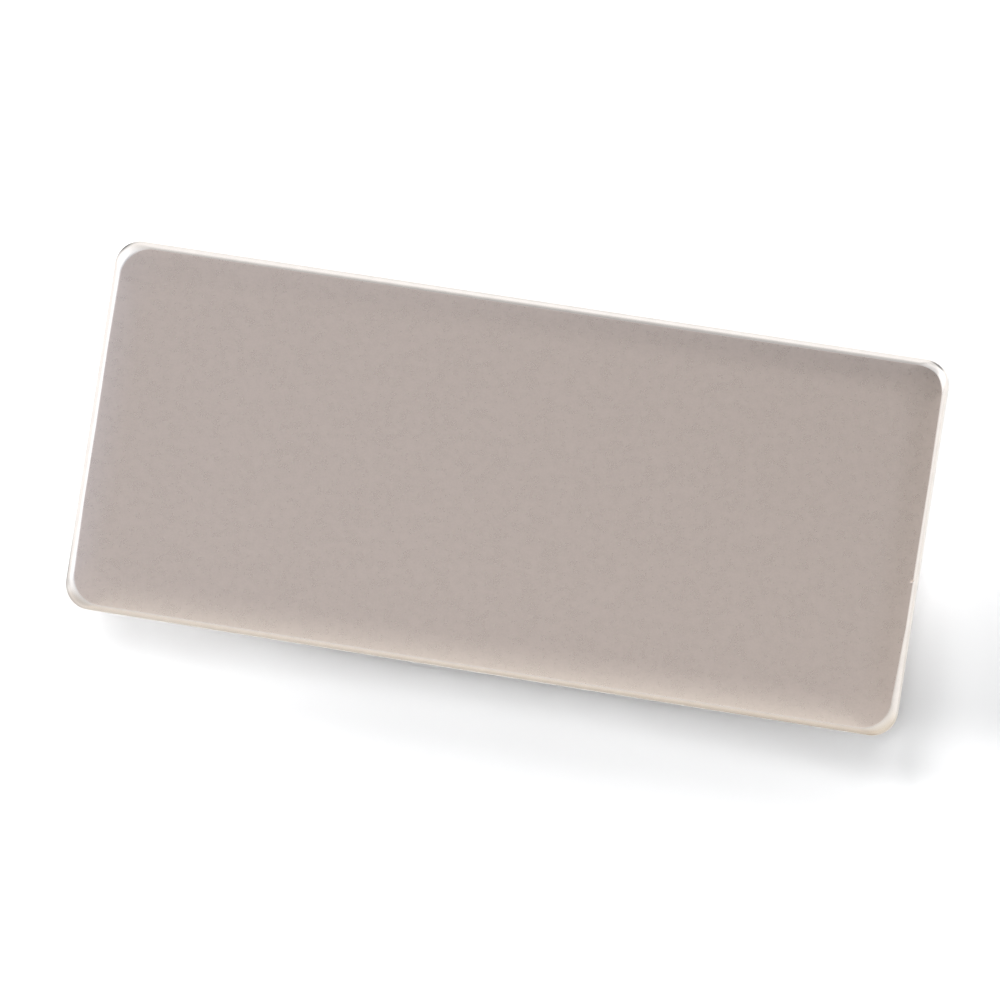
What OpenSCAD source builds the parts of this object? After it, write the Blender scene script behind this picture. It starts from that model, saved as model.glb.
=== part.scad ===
// Blank metal name badge, lying face up on the pin bar that is bonded to its back.
// X runs along the long edge, Y from the lower edge to the upper edge, and Z out of the face.
// The origin is on the surface the badge lies on, below the middle of the plate.

/* [Plate] */
// Length of the plate, from its left end to its right end
plate_len = 68; // [50:1:80]
// Width of the plate, from its lower edge to its upper edge
plate_wid = 30; // [20:1:40]
// Thickness from the flat back to the middle of the face
plate_t = 1.2; // [1.1:0.1:2]
// Radius of the outline's corners
corner_r = 2.1; // [1:0.1:4]

/* [Rim and margin] */
// Width of the polished rim, seen from above, along a straight edge
rim_w = 0.5; // [0.3:0.05:0.6]
// Slope of the rim where it leaves the crease round the face, in degrees
rim_slope = 20; // [10:1:30]
// Slope of the rim where it rolls over into the side, in degrees
edge_slope = 45; // [40:1:60]
// Radius of the roll between the rim and the side
edge_r = 0.1; // [0.05:0.05:0.15]
// Corner radius of the crease between the rim and the face
crease_r = 2.4; // [1:0.1:5]
// Width of the margin over which the face bends down to the crease
margin_w = 2.6; // [1:0.1:5]
// How far the face drops over its margin
margin_drop = 0.15; // [0:0.01:0.2]
// Corner radius of the flat middle of the face
flat_r = 3; // [1:0.1:6]
// Radius that takes the sharpness off the edge of the back
back_r = 0.2; // [0.05:0.05:0.25]

/* [Pin bar] */
// Height of the pin bar, from the plate's back to the surface it lies on
pin_h = 5; // [4.5:0.1:7]
// Length of the base strip
strip_len = 32; // [28:1:40]
// Width of the base strip, which is the width across the knuckle too
strip_wid = 5; // [4.5:0.1:7]
// Thickness of the sheet that the strip, the ears and the catch are bent from
sheet_t = 0.7; // [0.5:0.1:0.8]
// Diameter of the pin wire
wire_d = 1; // [0.8:0.1:1.2]
// Height of the wire's axis above the surface the badge lies on
wire_z = 1.75; // [1.6:0.05:2]

/* [Hidden] */

// Plate: levels and curve steps
back_z = pin_h;
face_z = back_z + plate_t;
crease_z = face_z - margin_drop;
edge_w = edge_r * (1 - sin(edge_slope));
edge_z = edge_r * cos(edge_slope);
rim_r = (rim_w - edge_w) / (sin(edge_slope) - sin(rim_slope));
side_z = crease_z - rim_r * (cos(rim_slope) - cos(edge_slope)) - edge_z;
corner_steps = 12;
back_steps = 3;
edge_steps = 3;
rim_steps = 6;
margin_steps = 8;

// Pin bar: places along X and sizes of its bent sheet
strip_z = back_z - sheet_t;
strip_corner_r = 1;
ear_len = 4;
ear_round_r = 1.2;
knuckle_x = -strip_len / 2 + ear_len / 2 + 1;
barrel_d = 2.5;
catch_len = 4;
catch_x = strip_len / 2 - catch_len / 2 - 1;
catch_wid = 4.4;
catch_round_r = 1.3;
lip_h = 2.5;
point_len = 2.2;
tip_d = 0.2;
tip_x = catch_x + catch_len / 2 + 0.6;
overlap = 0.1;
$fn = 48;

// One closed row of points: a rounded rectangle that lies inset from the plate's outline,
// with corners of radius r, at height z
function ring(inset, r, z) = [
    for (corner = [0:3])
        let (
            side_x = (corner == 0 || corner == 3) ? 1 : -1,
            side_y = corner < 2 ? 1 : -1,
            cx = side_x * (plate_len / 2 - inset - r),
            cy = side_y * (plate_wid / 2 - inset - r)
        )
        for (i = [0:corner_steps])
            let (a = 90 * (corner + i / corner_steps))
            [cx + r * cos(a), cy + r * sin(a), z]
];

// Back edge: a quarter round, u from 0 on the back to 1 on the side
function back_ring(u) =
    let (inset = back_r * (1 - sin(90 * u)))
    ring(inset, corner_r - inset, back_z + back_r * (1 - cos(90 * u)));

// Corner radius on the rim, which opens out from the outline's to the crease's own
function rim_corner_r(inset) = corner_r + (crease_r - corner_r) * inset / rim_w;

// Edge: a small arc that rolls from the side, u = 0, over to the rim, u = 1
function edge_ring(u) =
    let (
        a = 90 + (edge_slope - 90) * u,
        inset = edge_r * (1 - sin(a))
    )
    ring(inset, rim_corner_r(inset), side_z + edge_r * cos(a));

// Rim: a wide arc from the edge, u = 0, up to the crease, u = 1
function rim_ring(u) =
    let (
        a = edge_slope + (rim_slope - edge_slope) * u,
        inset = edge_w + rim_r * (sin(edge_slope) - sin(a))
    )
    ring(inset, rim_corner_r(inset), side_z + edge_z + rim_r * (cos(a) - cos(edge_slope)));

// Margin: a parabola from the crease, u = 0, up to the flat middle of the face, u = 1
function margin_ring(u) =
    ring(
        rim_w + margin_w * u,
        crease_r + (flat_r - crease_r) * u,
        crease_z + margin_drop * (1 - pow(1 - u, 2))
    );

// The rows from the back to the middle of the face
plate_rings = concat(
    [for (i = [0:back_steps]) back_ring(i / back_steps)],
    [for (i = [0:edge_steps]) edge_ring(i / edge_steps)],
    [for (i = [1:rim_steps]) rim_ring(i / rim_steps)],
    [for (i = [1:margin_steps]) margin_ring(i / margin_steps)]
);

// A closed skin over rows of points: two triangles between each pair of neighbours, and a
// flat cap at either end
module skin(rings) {
    count = len(rings[0]);
    last = len(rings) - 1;
    points = [for (row = rings) for (p = row) p];
    walls = [
        for (k = [0:last - 1])
            for (i = [0:count - 1])
                let (
                    a = k * count + i,
                    b = k * count + (i + 1) % count
                )
                for (triangle = [[a, b + count, b], [a, a + count, b + count]])
                    triangle
    ];
    low_cap = [for (i = [0:count - 1]) i];
    high_cap = [for (i = [count - 1:-1:0]) last * count + i];
    polyhedron(points, concat([low_cap], walls, [high_cap]));
}

// Flat shape of a bent-down tab: width across X, from y = 0 up to height, with its two
// lower corners rounded
module tab_shape(width, height, round_r) {
    flat_w = width - 2 * round_r;
    translate([-width / 2, round_r])
        square([width, height - round_r]);
    translate([-flat_w / 2, 0])
        square([flat_w, 2 * round_r]);
    for (side = [-1, 1])
        translate([side * flat_w / 2, round_r])
            circle(round_r);
}

// Base strip, a flat rectangle with rounded corners, face to face with the plate's back
module base_strip() {
    translate([0, 0, strip_z])
        linear_extrude(sheet_t) {
            square([strip_len - 2 * strip_corner_r, strip_wid], center = true);
            square([strip_len, strip_wid - 2 * strip_corner_r], center = true);
            for (side_x = [-1, 1])
                for (side_y = [-1, 1])
                    translate([
                        side_x * (strip_len / 2 - strip_corner_r),
                        side_y * (strip_wid / 2 - strip_corner_r)
                    ])
                        circle(strip_corner_r);
        }
}

// Knuckle: two ears bent down from the strip, with the wire's coil as a barrel between them
module knuckle() {
    for (y = [-strip_wid / 2, strip_wid / 2 - sheet_t])
        translate([knuckle_x, y + sheet_t, 0])
            rotate([90, 0, 0])
                linear_extrude(sheet_t)
                    tab_shape(ear_len, strip_z + overlap, ear_round_r);
    translate([knuckle_x, strip_wid / 2 - sheet_t / 2, wire_z])
        rotate([90, 0, 0])
            cylinder(h = strip_wid - sheet_t, d = barrel_d);
}

// Pin wire, straight from the barrel to its ground point just past the catch
module pin_wire() {
    shaft_len = tip_x - point_len - knuckle_x;
    translate([knuckle_x, 0, wire_z])
        rotate([0, 90, 0]) {
            cylinder(h = shaft_len, d = wire_d);
            translate([0, 0, shaft_len])
                cylinder(h = point_len, d1 = wire_d, d2 = tip_d);
        }
}

// Catch: a channel bent down from the strip and round below the wire, open on its lower side
// above the lip
module catch() {
    translate([catch_x - catch_len / 2, 0, 0])
        rotate([90, 0, 90])
            linear_extrude(catch_len)
                difference() {
                    tab_shape(catch_wid, strip_z + overlap, catch_round_r);
                    translate([0, sheet_t])
                        tab_shape(
                            catch_wid - 2 * sheet_t,
                            strip_z,
                            catch_round_r - sheet_t
                        );
                    translate([-catch_wid, lip_h])
                        square([catch_wid, strip_z]);
                }
}

module name_plate() {
    color("rosybrown")
        skin(plate_rings);
}

module pin_bar() {
    color("silver")
        union() {
            base_strip();
            knuckle();
            pin_wire();
            catch();
        }
}

name_plate();
pin_bar();
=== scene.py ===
import math

import bmesh
import bpy
import numpy as np
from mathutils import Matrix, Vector


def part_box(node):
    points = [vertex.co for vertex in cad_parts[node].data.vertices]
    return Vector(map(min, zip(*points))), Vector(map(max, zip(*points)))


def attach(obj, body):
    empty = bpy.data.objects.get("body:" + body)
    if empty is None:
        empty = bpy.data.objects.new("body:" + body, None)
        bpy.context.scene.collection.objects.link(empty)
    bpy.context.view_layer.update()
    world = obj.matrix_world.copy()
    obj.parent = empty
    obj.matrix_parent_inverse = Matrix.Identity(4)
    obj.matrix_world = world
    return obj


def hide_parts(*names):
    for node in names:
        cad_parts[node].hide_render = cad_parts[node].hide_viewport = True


# Blank metal name badge, lying face up on its bar pin.
# Everything is in metres in the frame of the CAD part, and the dictionaries below are in millimetres.
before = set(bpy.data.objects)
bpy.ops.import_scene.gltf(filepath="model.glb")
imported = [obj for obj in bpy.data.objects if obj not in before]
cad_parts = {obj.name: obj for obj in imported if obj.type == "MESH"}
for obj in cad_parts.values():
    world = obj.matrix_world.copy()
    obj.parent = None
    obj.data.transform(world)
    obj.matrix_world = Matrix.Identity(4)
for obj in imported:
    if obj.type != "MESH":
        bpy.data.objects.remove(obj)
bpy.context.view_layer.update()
mm = 0.001


# A shader socket that Python can reckon with: an expression on it adds the Math nodes it needs.
class Wire:
    def __init__(self, tree, socket=None):
        self.tree = tree
        self.socket = socket

    # Any other node: its type, its settings first, then the values or links of its sockets.
    def node(self, kind, settings=None, sockets=None, output=0):
        made = self.tree.nodes.new(kind)
        for name, value in (settings or {}).items():
            if name == "stops":
                fillRamp(made.color_ramp, value)
            else:
                setattr(made, name, value)
        for name, value in (sockets or {}).items():
            if isinstance(value, Wire):
                self.tree.links.new(value.socket, made.inputs[name])
            else:
                made.inputs[name].default_value = value
        return Wire(self.tree, made.outputs[output])

    def math(self, operation, first, second):
        return self.node("ShaderNodeMath", {"operation": operation}, {0: first, 1: second})

    def vectorMath(self, operation, sockets, output="Vector"):
        return self.node("ShaderNodeVectorMath", {"operation": operation}, sockets, output)

    def __add__(self, other):
        return self.math("ADD", self, other)

    def __sub__(self, other):
        return self.math("SUBTRACT", self, other)

    def __rsub__(self, other):
        return self.math("SUBTRACT", other, self)

    def __mul__(self, other):
        return self.math("MULTIPLY", self, other)

    __radd__ = __add__
    __rmul__ = __mul__

    # Runs smoothly from 0 where the value is low to 1 where it is high.
    def between(self, low, high):
        return self.node(
            "ShaderNodeMapRange",
            {"interpolation_type": "SMOOTHSTEP", "clamp": True},
            {"Value": self, "From Min": low, "From Max": high},
        )

    # Two colours or links to colours, mixed by this value.
    def blendColours(self, first, second):
        return self.node(
            "ShaderNodeMix",
            {"data_type": "RGBA", "clamp_factor": True},
            {0: self, 6: first, 7: second},
            2,
        )


def fillRamp(ramp, stops):
    while len(ramp.elements) < len(stops):
        ramp.elements.new(1.0)
    for element, (position, colour) in zip(ramp.elements, stops):
        element.position = position
        element.color = colour


def newMaterial(name, metallic, roughness):
    material = bpy.data.materials.new(name)
    material.use_nodes = True
    shader = material.node_tree.nodes["Principled BSDF"]
    shader.inputs["Metallic"].default_value = metallic
    shader.inputs["Roughness"].default_value = roughness
    return material, shader, Wire(material.node_tree)


def feed(shader, socket, wire):
    wire.tree.links.new(wire.socket, shader.inputs[socket])


# Faces between rows of points, from row k to row k + 1, where each row closes on itself.
def closedRowFaces(rowCount, pointCount):
    row, point = np.meshgrid(np.arange(rowCount - 1), np.arange(pointCount), indexing="ij")
    after = (point + 1) % pointCount
    corners = [row * pointCount + point, row * pointCount + after,
               (row + 1) * pointCount + after, (row + 1) * pointCount + point]
    return np.stack(corners, -1).reshape(-1, 4)


# The same for rows that stay open.
def openGridFaces(rowCount, pointCount):
    row, point = np.meshgrid(np.arange(rowCount - 1), np.arange(pointCount - 1), indexing="ij")
    corners = [row * pointCount + point, row * pointCount + point + 1,
               (row + 1) * pointCount + point + 1, (row + 1) * pointCount + point]
    return np.stack(corners, -1).reshape(-1, 4)


def fillMesh(name, points, faces, finishes=None):
    mesh = bpy.data.meshes.new(name)
    mesh.from_pydata(points.reshape(-1, 3).tolist(), [], faces.tolist())
    if finishes is not None:
        mesh.polygons.foreach_set("material_index", finishes)
    mesh.polygons.foreach_set("use_smooth", np.ones(len(faces), bool))
    return mesh


# Joins points that lie together, which closes seams and poles, and turns all faces outwards.
def closeMesh(mesh, distance=0.0005 * mm):
    shape = bmesh.new()
    shape.from_mesh(mesh)
    bmesh.ops.remove_doubles(shape, verts=shape.verts, dist=distance)
    bmesh.ops.recalc_face_normals(shape, faces=shape.faces)
    shape.to_mesh(mesh)
    shape.free()


def addPiece(name, mesh, materials, node):
    piece = bpy.data.objects.new(name, mesh)
    bpy.context.scene.collection.objects.link(piece)
    for material in materials:
        mesh.materials.append(material)
    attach(piece, "root")
    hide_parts(node)


# Camera: over the badge, a little to its right and turned, as in the photo.
camera = {
    "place": (77.06, 3.08, 477.22),
    "turn": (0.932, 9.248, 8.911),  # degrees about X, Y and Z
    "lens": 216,
    "sensor": 36,
    "nearest": 10,  # what the camera sees starts here
    "farthest": 50000,  # and ends here
}


def addCamera():
    data = bpy.data.cameras.new("camera")
    data.lens = camera["lens"]
    data.sensor_width = camera["sensor"]
    data.clip_start = camera["nearest"] * mm
    data.clip_end = camera["farthest"] * mm
    holder = bpy.data.objects.new("camera", data)
    holder.location = Vector(camera["place"]) * mm
    holder.rotation_euler = [math.radians(angle) for angle in camera["turn"]]
    bpy.context.scene.collection.objects.link(holder)
    bpy.context.scene.camera = holder


addCamera()
print("camera set")

# Studio: what the metal mirrors. A pale tent, dimmer overhead, with soft cards round it.
# A level is the light at a height, the sine of the elevation. tilt is the angle from straight
# up, and azimuth runs from +X towards +Y, in degrees. A card is full inside its core and gone
# at its edge, both as angles from its middle, and a dark card has a strength below zero.
white = (1.0, 1.0, 1.0)
tent = {
    "levels": [(0, 1.35), (0.25, 1.21), (0.5, 1.26), (0.75, 0.94), (0.97, 0.59)],
    "cards": [
        {"azimuth": 170, "tilt": 43, "core": 0, "edge": 31, "strength": 0.38, "colour": (0.90, 1.0, 1.16)},
        {"azimuth": 55, "tilt": 40, "core": 19, "edge": 33, "strength": 0.57, "colour": (0.98, 1.0, 1.03)},
        {"azimuth": 73, "tilt": 14, "core": 1, "edge": 14, "strength": -0.76, "colour": white},
        {"azimuth": 304, "tilt": 89, "core": 39, "edge": 65, "strength": -0.52, "colour": (0.91, 1.0, 1.14)},
        {"azimuth": 249, "tilt": 21, "core": 0, "edge": 8, "strength": 1.04, "colour": (0.93, 1.0, 0.85)},
        {"azimuth": 66, "tilt": 76, "core": 12, "edge": 20, "strength": -0.73, "colour": white},
        {"azimuth": 228, "tilt": 63, "core": 12, "edge": 29, "strength": -0.36, "colour": (0.90, 1.0, 1.12)},
        {"azimuth": 314, "tilt": 45, "core": 0, "edge": 38, "strength": 0.31, "colour": (1.07, 1.0, 0.87)},
        {"azimuth": 82, "tilt": 41, "core": 0, "edge": 25, "strength": -0.57, "colour": white},
        {"azimuth": 175, "tilt": 33, "core": 1, "edge": 17, "strength": -0.42, "colour": white},
        {"azimuth": 160, "tilt": 42, "core": 0, "edge": 10, "strength": 0.35, "colour": white},
        {"azimuth": 160, "tilt": 24, "core": 0, "edge": 10, "strength": -0.30, "colour": white},
        {"azimuth": 133, "tilt": 12, "core": 0, "edge": 10, "strength": 0.08, "colour": white},
        {"azimuth": 350, "tilt": 6, "core": 0, "edge": 18, "strength": -0.04, "colour": (0.1, 0.4, 1.0)},
        {"azimuth": 290, "tilt": 14, "core": 0, "edge": 12, "strength": 0.13, "colour": (1.0, 1.0, 0.92)},
        {"azimuth": 266, "tilt": 58, "core": 0, "edge": 28, "strength": -0.06, "colour": (0.0, 0.55, 1.0)},
    ],
}


def direction(azimuth, elevation):
    a, e = math.radians(azimuth), math.radians(elevation)
    return Vector((math.cos(e) * math.cos(a), math.cos(e) * math.sin(a), math.sin(e)))


def addTent():
    world = bpy.data.worlds.new("studio tent")
    bpy.context.scene.world = world
    world.use_nodes = True
    background = world.node_tree.nodes["Background"]
    start = Wire(world.node_tree)
    way = start.node("ShaderNodeTexCoord", output="Generated")
    height = start.node("ShaderNodeSeparateXYZ", {}, {0: way}, "Z")
    stops = [(spot, (level, level, level, 1)) for spot, level in tent["levels"]]
    glow = start.node("ShaderNodeValToRGB", {"stops": stops}, {0: height})
    for card in tent["cards"]:
        middle = direction(card["azimuth"], 90 - card["tilt"])
        nearness = start.vectorMath("DOT_PRODUCT", {0: way, 1: middle}, "Value")
        edge, core = (math.cos(math.radians(card[limit])) for limit in ("edge", "core"))
        light = tuple(card["strength"] * part for part in card["colour"])
        added = start.vectorMath("SCALE", {0: light, "Scale": nearness.between(edge, core)})
        glow = start.vectorMath("ADD", {0: glow, 1: added})
    feed(background, "Color", glow)
    world.cycles_visibility.diffuse = False


# Lamps that light the floor only, because glossy rays don't see them and the metal has no other
# shine. light is what each adds to the floor's brightness, spread its width across in degrees.
lamps = {
    "overhead": {"azimuth": 98, "elevation": 86, "spread": 17, "light": 0.184},
    "backRight": {"azimuth": 78, "elevation": 36.4, "spread": 16, "light": 0.121},
    "lowRight": {"azimuth": 51, "elevation": 13.8, "spread": 58, "light": 0.125},
    "lowBehind": {"azimuth": 97, "elevation": 12.9, "spread": 10, "light": 0.332},
    "lowBackLeft": {"azimuth": 113, "elevation": 12.2, "spread": 10, "light": 0.100},
    "lowerBackLeft": {"azimuth": 135, "elevation": 9.1, "spread": 10, "light": 0.129},
    "lowLeft": {"azimuth": 185, "elevation": 23.6, "spread": 20, "light": 0.262},
}
# This one lights a round pool in front of the badge, from the pool's rim at frontEdge on.
frontLamp = {
    "height": 2000,
    "poolRadius": 400,
    "frontEdge": -15,
    "softRim": 3.8,
    "bulbRadius": 0.5,
    "light": 0.396,
}
floorLook = {"tone": 0.85, "tint": (1.0, 1.006, 1.014), "roughness": 0.6, "size": 6000}


def addLamps():
    for name, lamp in lamps.items():
        data = bpy.data.lights.new(name, "SUN")
        data.angle = math.radians(lamp["spread"])
        slant = math.sin(math.radians(lamp["elevation"]))
        data.energy = lamp["light"] * math.pi / (floorLook["tone"] * slant)
        holder = bpy.data.objects.new(name, data)
        toLamp = direction(lamp["azimuth"], lamp["elevation"])
        holder.rotation_euler = toLamp.to_track_quat("Z", "Y").to_euler()
        holder.visible_glossy = False
        bpy.context.scene.collection.objects.link(holder)


# A spot straight above the middle of its pool. Its power gives the light at the pool's rim, and
# its blend is the share of the pool's area that the soft rim takes.
def addFrontLamp():
    height, radius = frontLamp["height"], frontLamp["poolRadius"]
    data = bpy.data.lights.new("front", "SPOT")
    data.spot_size = 2 * math.atan(radius / height)
    data.spot_blend = 1 - (1 - frontLamp["softRim"] / radius) ** 2
    data.shadow_soft_size = frontLamp["bulbRadius"] * mm
    reach = math.hypot(radius, height)
    slant = height / reach
    data.energy = frontLamp["light"] * (2 * math.pi * reach * mm) ** 2 / (floorLook["tone"] * slant)
    holder = bpy.data.objects.new("front", data)
    holder.location = Vector((0, frontLamp["frontEdge"] - radius, height)) * mm
    holder.visible_glossy = False
    holder.visible_camera = False
    bpy.context.scene.collection.objects.link(holder)


def addFloor():
    half = floorLook["size"] * mm / 2
    corners = np.array([(-half, -half, 0), (half, -half, 0), (half, half, 0), (-half, half, 0)])
    mesh = fillMesh("floor", corners, np.array([[0, 1, 2, 3]]))
    floor = bpy.data.objects.new("floor", mesh)
    bpy.context.scene.collection.objects.link(floor)
    material, shader = newMaterial("matt white board", 0, floorLook["roughness"])[:2]
    colour = [floorLook["tone"] * part for part in floorLook["tint"]]
    shader.inputs["Base Color"].default_value = (*colour, 1)
    shader.inputs["Specular IOR Level"].default_value = 0.0
    mesh.materials.append(material)


addTent()
addLamps()
addFrontLamp()
addFloor()
bpy.context.scene.view_settings.view_transform = "Standard"
print("studio set")

# Name plate
plate = {
    "cornerRadius": 2.1,
    "rimWidth": 0.5,
    "rimSlope": 20,  # degrees, where the rim reaches the crease
    "edgeSlope": 45,  # degrees, where the rim rolls over into the side
    "edgeRound": 0.1,
    "creaseRadius": 2.4,
    "creaseSoft": 0.06,  # how far the crease is polished round on either side
    # What the hand polishing adds to the crease's inset: at the start, middle and end of a corner,
    # then a quarter, half and three quarters of the way to the next one, anticlockwise.
    "insetSway": (
        -0.09, -0.135, 0.05, 0.075, 0.075, 0.07,  # upper right corner and top
        0.05, 0.13, 0.135, 0.055, 0.09, 0.05,  # upper left corner and left side
        0.16, 0.085, 0.03, 0.015, 0.0, 0.015,  # lower left corner and bottom
        0.03, 0.045, 0.13, -0.10, -0.105, -0.135,  # lower right corner and right side
    ),
    "marginWidth": 2.6,
    "marginDrop": 0.15,  # how far the face falls over its margin
    "flatRadius": 3.0,
    "backRound": 0.2,
    "nickPlace": (33.55, -2.48),
    "nickSize": (0.14, 0.06),  # along and across it
    "nickTurn": 40,  # degrees from +X
    "nickDepth": 0.05,
    "sharpFrom": 9,  # degrees between two faces from which their edge shows
}
# Into how many points each stretch from the back's middle to the face's middle is cut.
rowSteps = {"backFlat": 5, "backEdge": 6, "edge": 13, "rim": 21, "crease": 11, "margin": 25, "face": 9}
# Painted shade on the polished edge: dark lines on the rim's outer part that stand in for the shaded floor
# it mirrors, along the bottom and at the upper corners. For each: where on the outline, how far it reaches
# along it, how far in its middle lies, how wide it is and how strong.
paintedShadeMarks = [
    {"place": (-33.38, 14.38), "reach": 0.85, "inset": 0.02, "width": 0.075, "strength": 0.85},
    {"place": (33.04, 14.66), "reach": 0.40, "inset": 0.05, "width": 0.07, "strength": 0.62},
    {"place": (32.60, 14.88), "reach": 0.38, "inset": 0.18, "width": 0.05, "strength": 0.36},
    {"place": (-33.98, -13.05), "reach": 0.50, "inset": 0.19, "width": 0.10, "strength": 0.42},
    {"place": (-34.00, -11.80), "reach": 2.20, "inset": 0.05, "width": 0.05, "strength": 0.45},
    {"place": (0.00, -15.00), "reach": 34.0, "inset": 0.045, "width": 0.06, "strength": 0.30},
    {"place": (25.00, -15.00), "reach": 7.0, "inset": 0.045, "width": 0.06, "strength": 0.20},
]
# Each finish has a grain, a noise whose mid range runs its colour from dark to light, whose full
# range is the spread of its roughness, and which is a relief of this depth.
satinLook = {
    "light": (0.770, 0.665, 0.620, 1),
    "dark": (0.727, 0.628, 0.586, 1),
    "grainSize": 0.8,
    "grainDetail": 3.0,
    "grainHarshness": 0.95,
    "midRange": (0.35, 0.65),
    "roughness": 0.28,
    "spread": 0.06,
    "depth": 0.0004,
    "speck": (0.67, 0.58, 0.53, 1),
    "speckSpacing": 0.9,
    "speckRadius": (0.03, 0.10),  # where a speck starts to fade and where it is gone
    "speckStrength": 0.5,
}
rimLook = {
    "light": (0.808, 0.765, 0.730, 1),
    "dark": (0.778, 0.735, 0.702, 1),
    # colour of the painted shade on the rim's outer edge, a painted dark reflection of shaded floor
    "paintedShadeColour": (0.06, 0.06, 0.06, 1),
    "grainSize": 1.2,
    "grainDetail": 3.0,
    "midRange": (0.3, 0.7),
    "roughness": 0.13,
    "spread": 0.06,
    "depth": 0.002,
}
backLook = {
    "light": (0.76, 0.70, 0.67, 1),
    "dark": (0.70, 0.64, 0.61, 1),
    "grainSize": 2.5,
    "grainSqueeze": (1, 12, 12),  # how much finer the grain is along each axis, so that it runs along X
    "grainDetail": 4.0,
    "midRange": (0.3, 0.7),
    "roughness": 0.38,
    "spread": 0.12,
    "depth": 0.003,
}


# Places round the outline: the corner centre that each point belongs to, as a pair that runs
# from -1 to 1, the angle of the outline there and its place, which is 0 where the upper right
# corner starts and grows by 2 round each corner and by 4 along each side. Corners are arcs, and
# sides run from one corner centre to the next. The right side is closer stepped round the nick.
def outlineSteps(cornerSteps=28, longSteps=44, shortSteps=20, nickSteps=25, nickReach=0.045):
    signs = [(1, 1), (-1, 1), (-1, -1), (1, -1)]
    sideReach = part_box("name_plate")[1].y / mm - plate["cornerRadius"]
    nearNick = plate["nickPlace"][1] / sideReach + np.linspace(-nickReach, nickReach, nickSteps)
    blocks = []
    for k, (signX, signY) in enumerate(signs):
        nextX, nextY = signs[(k + 1) % 4]
        angles = np.radians(90 * (k + np.linspace(0, 1, cornerSteps + 1)))
        cornerPlace = 6 * k + np.linspace(0, 2, cornerSteps + 1)
        whole = np.ones_like(angles)
        blocks.append(np.stack([signX * whole, signY * whole, angles, cornerPlace], 1))
        along = np.linspace(0, 1, (longSteps if signY == nextY else shortSteps) + 1)[1:-1]
        if k == 3:
            along = np.sort(np.concatenate([along, (nearNick + 1) / 2]))
        mixX = signX + (nextX - signX) * along
        mixY = signY + (nextY - signY) * along
        sideAngle = np.full_like(along, angles[-1])
        blocks.append(np.stack([mixX, mixY, sideAngle, 6 * k + 2 + 4 * along], 1))
    return np.concatenate(blocks).T


# Rows of the plate, each an inset from the outline, a corner radius, a share of the crease's
# sway and a height: back edge a quarter round, edge a small arc from the upright side to the
# rim, rim a wide arc up to the crease, margin a parabola that levels out, and flat middles that
# close up to a line along the plate. On both arcs
# inset = start + radius * (sin(first slope) - sin(slope)), and the height grows by
# radius * (cos(slope) - cos(first slope)). The crease is rounded by a quadratic curve from a
# point on the rim to one on the margin, with the crease itself as its third point.
def plateRows(low, high):
    rimSlope, edgeSlope = math.radians(plate["rimSlope"]), math.radians(plate["edgeSlope"])
    rimWidth, marginWidth, soft = plate["rimWidth"], plate["marginWidth"], plate["creaseSoft"]
    edgeRound, backRound = plate["edgeRound"], plate["backRound"]
    edgeWidth = edgeRound * (1 - math.sin(edgeSlope))
    edgeHeight = edgeRound * math.cos(edgeSlope)
    rimRadius = (rimWidth - edgeWidth) / (math.sin(edgeSlope) - math.sin(rimSlope))
    creaseZ = high.z / mm - plate["marginDrop"]
    sideZ = creaseZ - rimRadius * (math.cos(rimSlope) - math.cos(edgeSlope)) - edgeHeight
    halfWidth = high.y / mm

    u = np.linspace(0, 1, rowSteps["backFlat"])[:-1]
    backRadius = plate["cornerRadius"] - backRound
    backFlat = [halfWidth + (backRound - halfWidth) * u, backRadius * u, 0 * u, low.z / mm + 0 * u]

    a = np.radians(90 * np.linspace(0, 1, rowSteps["backEdge"]))
    inset = backRound * (1 - np.sin(a))
    backEdge = [inset, plate["cornerRadius"] - inset, 0 * a, low.z / mm + backRound * (1 - np.cos(a))]

    a = np.linspace(math.pi / 2, edgeSlope, rowSteps["edge"])
    inset = edgeRound * (1 - np.sin(a))
    height = sideZ + edgeRound * np.cos(a)
    softSlope = math.asin(math.sin(edgeSlope) - (rimWidth - soft - edgeWidth) / rimRadius)
    a = np.linspace(edgeSlope, softSlope, rowSteps["rim"])[1:]
    inset = np.append(inset, edgeWidth + rimRadius * (math.sin(edgeSlope) - np.sin(a)))
    height = np.append(height, sideZ + edgeHeight + rimRadius * (np.cos(a) - math.cos(edgeSlope)))
    share = inset / rimWidth
    opening = plate["creaseRadius"] - plate["cornerRadius"]
    rim = np.array([inset, plate["cornerRadius"] + opening * share, share, height])

    closer = 1.5  # above 1, rows stand closer towards the crease
    u = np.linspace(0, 1, rowSteps["margin"]) ** closer
    u = soft / marginWidth + (1 - soft / marginWidth) * u
    radius = plate["creaseRadius"] + (plate["flatRadius"] - plate["creaseRadius"]) * u
    height = creaseZ + plate["marginDrop"] * (1 - (1 - u) ** 2)
    margin = np.array([rimWidth + marginWidth * u, radius, 1 - u, height])

    t = np.linspace(0, 1, rowSteps["crease"])[1:-1]
    crease = np.array([rimWidth, plate["creaseRadius"], 1, creaseZ])[:, None]
    bend = (1 - t) ** 2 * rim[:, -1:] + 2 * t * (1 - t) * crease + t ** 2 * margin[:, :1]

    u = np.linspace(0, 1, rowSteps["face"])[1:]
    inset = rimWidth + marginWidth
    inset = inset + (halfWidth - inset) * u
    face = [inset, plate["flatRadius"] * (1 - u), 0 * u, high.z / mm + 0 * u]

    # The polished rim ends at the middle of the crease.
    half = bend.shape[1] // 2 + 1
    satin, polished, plain = 0, 1, 2
    parts = [
        (backFlat, plain),
        (backEdge, polished),
        (rim, polished),
        (bend[:, :half], polished),
        (bend[:, half:], satin),
        (margin, satin),
        (face, satin),
    ]
    finish = np.repeat([kind for part, kind in parts], [len(part[0]) for part, kind in parts])
    return np.concatenate([np.array(part) for part, kind in parts], 1), finish


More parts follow.
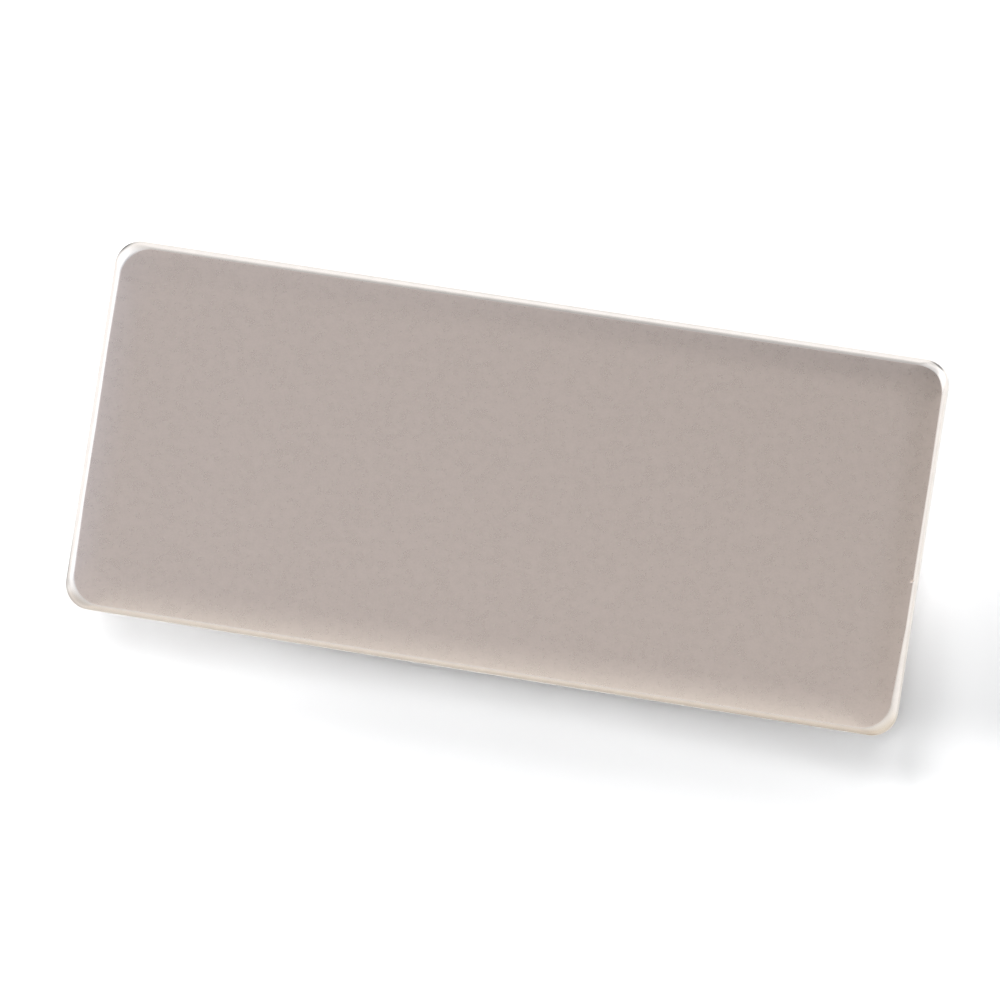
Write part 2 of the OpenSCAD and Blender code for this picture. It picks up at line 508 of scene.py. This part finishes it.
# The nick's depth: depth * exp(-along ** 2 - across ** 2), with both in units of its size.
def nickAt(x, y):
    turn = math.radians(plate["nickTurn"])
    offX, offY = x - plate["nickPlace"][0], y - plate["nickPlace"][1]
    along = (offX * math.cos(turn) + offY * math.sin(turn)) / plate["nickSize"][0]
    across = (offY * math.cos(turn) - offX * math.sin(turn)) / plate["nickSize"][1]
    return plate["nickDepth"] * np.exp(-(along ** 2) - across ** 2)


# The painted shade on the edge, a painted reflection of shaded floor: for each mark a bell along the outline
# times a bell across it.
def paintedShadeAt(x, y, inset):
    tarnish = np.zeros_like(x)
    for mark in paintedShadeMarks:
        away = np.hypot(x - mark["place"][0], y - mark["place"][1]) / mark["reach"]
        across = (inset - mark["inset"]) / mark["width"]
        tarnish += mark["strength"] * np.exp(-(away ** 2) - across ** 2)
    return tarnish


# Plate surface: x = side share * (half length - inset - r) + r * cos(angle), y likewise with
# the half width and sin(angle), z the height of the row less the nick on the upper half.
def plateSurface():
    low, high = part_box("name_plate")
    mixX, mixY, angle, place = outlineSteps()
    (inset, radius, share, height), finish = plateRows(low, high)
    sway = np.interp(place, np.arange(24), plate["insetSway"], period=24)
    inset, radius, share, height = (column[:, None] for column in (inset, radius, share, height))
    swayed = inset + share * sway
    x = mixX * (high.x / mm - swayed - radius) + radius * np.cos(angle)
    y = mixY * (high.y / mm - swayed - radius) + radius * np.sin(angle)
    upper = height > (low.z + high.z) / 2 / mm
    z = height - upper * nickAt(x, y)
    points = np.stack([x, y, z], -1) * mm
    finishes = np.repeat(finish[1:], x.shape[1])
    # the last value is the painted shade on the rim's edge
    return points, closedRowFaces(*x.shape), finishes, paintedShadeAt(x, y, inset)


# A grain on the piece's own coordinates, which gives the shader its roughness and its relief.
def addGrain(shader, start, look, place, **more):
    sockets = {"Vector": place, "Scale": 1 / (look["grainSize"] * mm), "Detail": look["grainDetail"]}
    grain = start.node("ShaderNodeTexNoise", {}, {**sockets, **more})
    feed(shader, "Roughness", grain * look["spread"] + (look["roughness"] - look["spread"] / 2))
    sockets = {"Strength": 1.0, "Distance": look["depth"] * mm, "Height": grain}
    feed(shader, "Normal", start.node("ShaderNodeBump", {}, sockets, "Normal"))
    return grain


def grainColour(grain, look):
    return grain.between(*look["midRange"]).blendColours(look["dark"], look["light"])


def satinFinish():
    material, shader, start = newMaterial("satin steel face", 1, satinLook["roughness"])
    place = start.node("ShaderNodeTexCoord", output="Object")
    grain = addGrain(shader, start, satinLook, place, Roughness=satinLook["grainHarshness"])
    sockets = {"Vector": place, "Scale": 1 / (satinLook["speckSpacing"] * mm)}
    dots = start.node("ShaderNodeTexVoronoi", {}, sockets, "Distance")
    speck = (1 - dots.between(*satinLook["speckRadius"])) * satinLook["speckStrength"]
    feed(shader, "Base Color", speck.blendColours(grainColour(grain, satinLook), satinLook["speck"]))
    return material


def rimFinish():
    material, shader, start = newMaterial("polished steel rim", 1, rimLook["roughness"])
    place = start.node("ShaderNodeTexCoord", output="Object")
    grain = addGrain(shader, start, rimLook, place)
    # painted shade: darkens the rim's outer edge where it stands in for mirrored shaded floor
    tarnish = start.node("ShaderNodeAttribute", {"attribute_name": "tarnish"}, {}, "Fac")
    feed(shader, "Base Color", tarnish.blendColours(grainColour(grain, rimLook), rimLook["paintedShadeColour"]))
    return material


def backFinish():
    material, shader, start = newMaterial("plain steel back", 1, backLook["roughness"])
    place = start.node("ShaderNodeTexCoord", output="Object")
    squeezed = start.node("ShaderNodeMapping", {}, {"Vector": place, "Scale": backLook["grainSqueeze"]})
    grain = addGrain(shader, start, backLook, squeezed)
    feed(shader, "Base Color", grainColour(grain, backLook))
    return material


def addPlate():
    points, faces, finishes, tarnish = plateSurface()
    mesh = fillMesh("badge_plate", points, faces, finishes)
    # the painted shade on the rim's edge goes to the mesh as a point attribute
    mesh.attributes.new("tarnish", "FLOAT", "POINT").data.foreach_set("value", tarnish.ravel())
    closeMesh(mesh)
    mesh.set_sharp_from_angle(angle=math.radians(plate["sharpFrom"]))
    addPiece("badge_plate", mesh, [satinFinish(), rimFinish(), backFinish()], "name_plate")
    print("name plate made,", len(mesh.polygons), "faces")


addPlate()

# Bar pin
pin = {
    "sheet": 0.7,
    "edgeRound": 0.12,
    "edgeSteps": 3,
    "edgeFrom": 50,  # degrees from which an edge of the sheet is rounded
    "endRound": 1.0,
    "stripRows": (0.4, 0.8, 1.85, 2.2),  # rows along the strip besides its middle, folds and edge
    "bendRadius": 0.65,  # all bend radii are at the middle of the sheet
    "earPlace": -13.0,
    "earWidth": 4.0,
    "earRound": 1.2,
    "catchPlace": 13.0,
    "catchWidth": 4.0,
    "catchDepth": 4.4,
    "catchRadius": 0.95,
    "lipHeight": 2.5,
    "lipRound": 0.6,
    "wire": 1.0,
    "wireZ": 1.75,
    "coilRadius": 0.75,
    "coilTurns": 1.75,
    "coilPitch": 1.03,
    "legGap": 0.2,  # between the strip and the wire's first end
    "runLength": 7,  # from the coil to where the wire lies on the middle line
    "pivot": 0.5,
    "pointLength": 2.4,
    "pointCurve": 0.62,  # 1 is a plain cone, less is fuller
    "tipX": 15.6,
    "sharpFrom": 35,  # degrees between two faces from which their edge shows
}
# Into how many points each stretch of the wire is cut.
wireSteps = {"leg": 12, "coil": 90, "run": 40, "shaft": 20, "point": 24}
nickelLook = {
    "light": (0.86, 0.84, 0.80, 1),
    "dark": (0.80, 0.775, 0.73, 1),
    "grainSize": 1.6,
    "grainDetail": 4.0,
    "midRange": (0.3, 0.7),
    "roughness": 0.17,
    "spread": 0.12,
    "depth": 0.004,
}


# A strip bent along its length: each part is a length and the angle it turns through, and the
# place at distance s is the sum over the parts of a straight or an arc as far as s reaches.
def bentPath(s, parts, y, z, heading):
    y, z = np.full_like(s, y), np.full_like(s, z)
    done = 0.0
    for length, turn in parts:
        reach = np.clip(s - done, 0, length)
        if turn:
            bend = math.radians(turn) / length
            y += (np.sin(heading + bend * reach) - math.sin(heading)) / bend
            z -= (np.cos(heading + bend * reach) - math.cos(heading)) / bend
            heading += math.radians(turn)
        else:
            y += math.cos(heading) * reach
            z += math.sin(heading) * reach
        done += length
    return y, z


# Angles round a quarter circle, without the first, where the straight before it ends.
def quarterAngles(steps=8):
    return np.radians(np.linspace(0, 90, steps + 1))[1:]


# A bent-down tab: rows along its path and columns across it, with its free end's corners
# rounded by rows that step round a quarter circle.
def tabPoints(centre, width, endRound, parts, foldY, sheetZ, side, columnStep, rowStep=0.12):
    end = sum(length for length, turn in parts) - endRound
    straight = np.linspace(0, end, int(end / rowStep) + 1)
    a = quarterAngles()
    s = np.concatenate([straight, end + endRound * np.sin(a)])
    endHalf = width / 2 - endRound + endRound * np.cos(a)
    half = np.concatenate([np.full_like(straight, width / 2), endHalf])
    y, z = bentPath(s, parts, foldY, sheetZ, 0.0)
    x = centre + half[:, None] * np.linspace(-1, 1, round(width / columnStep) + 1)
    return np.stack([x, side * y[:, None] + np.zeros_like(x), z[:, None] + np.zeros_like(x)], -1)


# The strip: flat, with rounded ends. It has no faces where an ear or the catch folds down, nor
# in one column beside it towards the middle, which is the relief cut at the bend.
def stripGrid(earFold, catchFold, sheetZ, columnStep):
    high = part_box("pin_bar")[1]
    halfLength, halfWidth, endRound = high.x / mm, high.y / mm, pin["endRound"]
    a = quarterAngles()
    endX = halfLength - endRound + endRound * np.sin(a)
    endWidth = halfWidth - endRound + endRound * np.cos(a)
    straightEnd = halfLength - endRound
    straight = np.linspace(-straightEnd, straightEnd, round(2 * straightEnd / columnStep) + 1)
    x = np.concatenate([-endX[::-1], straight, endX])
    width = np.concatenate([endWidth[::-1], np.full_like(straight, halfWidth), endWidth])
    upper = np.sort([0, *pin["stripRows"], catchFold, earFold, halfWidth])
    y = np.concatenate([-upper[:0:-1], upper])
    grid = np.stack(np.broadcast_arrays(x, (y / halfWidth)[:, None] * width, sheetZ), -1)
    faces = openGridFaces(len(y), len(x))

    middle = grid.reshape(-1, 3)[faces].mean(1)
    inEar = np.abs(middle[:, 0] - pin["earPlace"]) < pin["earWidth"] / 2
    inEar |= np.abs(middle[:, 0] - pin["earPlace"] - pin["earWidth"] / 2) < columnStep
    inCatch = np.abs(middle[:, 0] - pin["catchPlace"]) < pin["catchWidth"] / 2
    inCatch |= np.abs(middle[:, 0] - pin["catchPlace"] + pin["catchWidth"] / 2) < columnStep
    cut = inEar & (np.abs(middle[:, 1]) > earFold)
    cut |= inCatch & (middle[:, 1] > catchFold)
    return grid.reshape(-1, 3), faces[~cut]


# The catch's path: down from its fold, across under the wire and up to its lip.
def catchPath(foldArc, sheetZ):
    turn = pin["catchRadius"]
    arc = turn * math.pi / 2
    bottom = pin["sheet"] / 2 + turn
    down = sheetZ - pin["bendRadius"] - bottom
    across = pin["catchDepth"] - pin["sheet"] - 2 * turn
    up = pin["lipHeight"] - bottom
    return [(foldArc, -90), (down, 0), (arc, -90), (across, 0), (arc, -90), (up, 0)]


# The middle surface of the bent sheet: a strip with rounded ends, two ears and a catch.
def sheetMesh(columnStep=0.25):
    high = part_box("pin_bar")[1]
    bend = pin["bendRadius"]
    foldArc = bend * math.pi / 2
    sheetZ = high.z / mm - pin["sheet"] / 2
    earFold = high.y / mm - pin["sheet"] / 2 - bend
    catchFold = pin["catchDepth"] / 2 - pin["sheet"] / 2 - bend
    grids = [stripGrid(earFold, catchFold, sheetZ, columnStep)]

    earPath = [(foldArc, -90), (sheetZ - bend, 0)]
    ear = (pin["earPlace"], pin["earWidth"], pin["earRound"], earPath, earFold)
    catch = (pin["catchPlace"], pin["catchWidth"], pin["lipRound"], catchPath(foldArc, sheetZ), catchFold)
    for tab, side in ((ear, -1), (ear, 1), (catch, 1)):
        points = tabPoints(*tab, sheetZ, side, columnStep)
        grids.append((points.reshape(-1, 3), openGridFaces(*points.shape[:2])))

    starts = np.cumsum([0] + [len(points) for points, faces in grids])
    points = np.concatenate([points for points, faces in grids]) * mm
    faces = np.concatenate([faces + start for (points, faces), start in zip(grids, starts)])
    used, faces = np.unique(faces, return_inverse=True)
    mesh = fillMesh("pin_bar_sheet", points[used], faces.reshape(-1, 4))
    closeMesh(mesh)
    return mesh


# Gives the sheet its thickness and takes the sharpness off its edges.
def thickenSheet(mesh):
    sheet = bpy.data.objects.new("sheet", mesh)
    bpy.context.scene.collection.objects.link(sheet)
    solid = sheet.modifiers.new("thickness", "SOLIDIFY")
    solid.thickness = pin["sheet"] * mm
    solid.offset = 0
    solid.use_even_offset = True
    edge = sheet.modifiers.new("edges", "BEVEL")
    edge.width = pin["edgeRound"] * mm
    edge.segments = pin["edgeSteps"]
    edge.limit_method = "ANGLE"
    edge.angle_limit = math.radians(pin["edgeFrom"])
    depsgraph = bpy.context.evaluated_depsgraph_get()
    done = bpy.data.meshes.new_from_object(sheet.evaluated_get(depsgraph))
    bpy.data.objects.remove(sheet)
    return done


# A round bar along a path: at each place a circle of that place's radius, square to the path,
# with the Y axis as its reference, and its ends closed to points.
def barPoints(path, radius, sides=20):
    ahead = np.gradient(path, axis=0)
    ahead /= np.linalg.norm(ahead, axis=1)[:, None]
    sideways = np.array([0, 1.0, 0]) - ahead[:, 1:2] * ahead
    sideways /= np.linalg.norm(sideways, axis=1)[:, None]
    upwards = np.cross(ahead, sideways)
    a = np.linspace(0, 2 * np.pi, sides, endpoint=False)[:, None]
    circle = np.cos(a) * sideways[:, None] + np.sin(a) * upwards[:, None]
    return path[:, None] + radius[:, None, None] * circle


# Pin wire: a leg down from the strip, a coil round the pivot, x = radius * sin(angle) and
# z = radius * cos(angle) about it, a run that eases to the middle line, and a ground point.
def wirePath():
    radius, z = pin["coilRadius"], pin["wireZ"]
    angle = np.radians(np.linspace(-360 * pin["coilTurns"], 0, wireSteps["coil"]))
    startY = pin["coilPitch"] * pin["coilTurns"] / 2
    coilY = -startY - pin["coilPitch"] * angle / (2 * np.pi)
    coil = np.stack([pin["earPlace"] + radius * np.sin(angle), coilY, z + radius * np.cos(angle)], 1)
    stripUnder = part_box("pin_bar")[1].z / mm - pin["sheet"]
    legZ = np.linspace(stripUnder + pin["legGap"], z, wireSteps["leg"])[:-1]
    leg = np.stack([np.full_like(legZ, coil[0, 0]), np.full_like(legZ, coil[0, 1]), legZ], 1)
    u = np.linspace(0, 1, wireSteps["run"])[1:]
    ease = 3 * u ** 2 - 2 * u ** 3
    runX = pin["earPlace"] + pin["runLength"] * u
    run = np.stack([runX, -startY * (1 - ease), z + radius * (1 - ease)], 1)
    shaftX = np.linspace(runX[-1], pin["tipX"] - pin["pointLength"], wireSteps["shaft"])[1:]
    shaft = np.stack([shaftX, 0 * shaftX, z + 0 * shaftX], 1)
    u = np.sin(np.linspace(0, np.pi / 2, wireSteps["point"]))[1:]
    pointX = pin["tipX"] - pin["pointLength"] * (1 - u)
    point = np.stack([pointX, 0 * pointX, z + 0 * pointX], 1)
    path = np.concatenate([leg, coil, run, shaft, point])
    size = np.full(len(path), pin["wire"] / 2)
    size[-len(u):] *= (1 - u) ** pin["pointCurve"]
    size[0] = 0
    return path, size


def barMesh(name, path, radius):
    points = barPoints(path, radius) * mm
    mesh = fillMesh(name, points, closedRowFaces(*points.shape[:2]))
    closeMesh(mesh)
    return mesh


# The pivot in the coil: a round bar with flat ends, from one ear to the other.
def pivotMesh(sides=16):
    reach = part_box("pin_bar")[1].y / mm - pin["sheet"] / 2
    y = np.array([-reach, -reach, reach, reach])
    path = np.stack([pin["earPlace"] + 0 * y, y, pin["wireZ"] + 0 * y], 1)
    a = np.linspace(0, 2 * np.pi, sides, endpoint=False)
    ring = np.stack([np.cos(a), 0 * a, np.sin(a)], -1)
    size = np.array([0, 1, 1, 0]) * pin["pivot"] / 2
    points = (path[:, None] + size[:, None, None] * ring) * mm
    mesh = fillMesh("pivot", points, closedRowFaces(*points.shape[:2]))
    closeMesh(mesh)
    return mesh


def nickelFinish():
    material, shader, start = newMaterial("nickel plate", 1, nickelLook["roughness"])
    place = start.node("ShaderNodeTexCoord", output="Object")
    grain = addGrain(shader, start, nickelLook, place)
    feed(shader, "Base Color", grainColour(grain, nickelLook))
    return material


def addPin():
    shape = bmesh.new()
    for part in (thickenSheet(sheetMesh()), barMesh("wire", *wirePath()), pivotMesh()):
        shape.from_mesh(part)
    mesh = bpy.data.meshes.new("bar_pin")
    shape.to_mesh(mesh)
    shape.free()
    mesh.set_sharp_from_angle(angle=math.radians(pin["sharpFrom"]))
    addPiece("bar_pin", mesh, [nickelFinish()], "pin_bar")
    print("bar pin made,", len(mesh.polygons), "faces")


addPin()

bpy.context.view_layer.update()
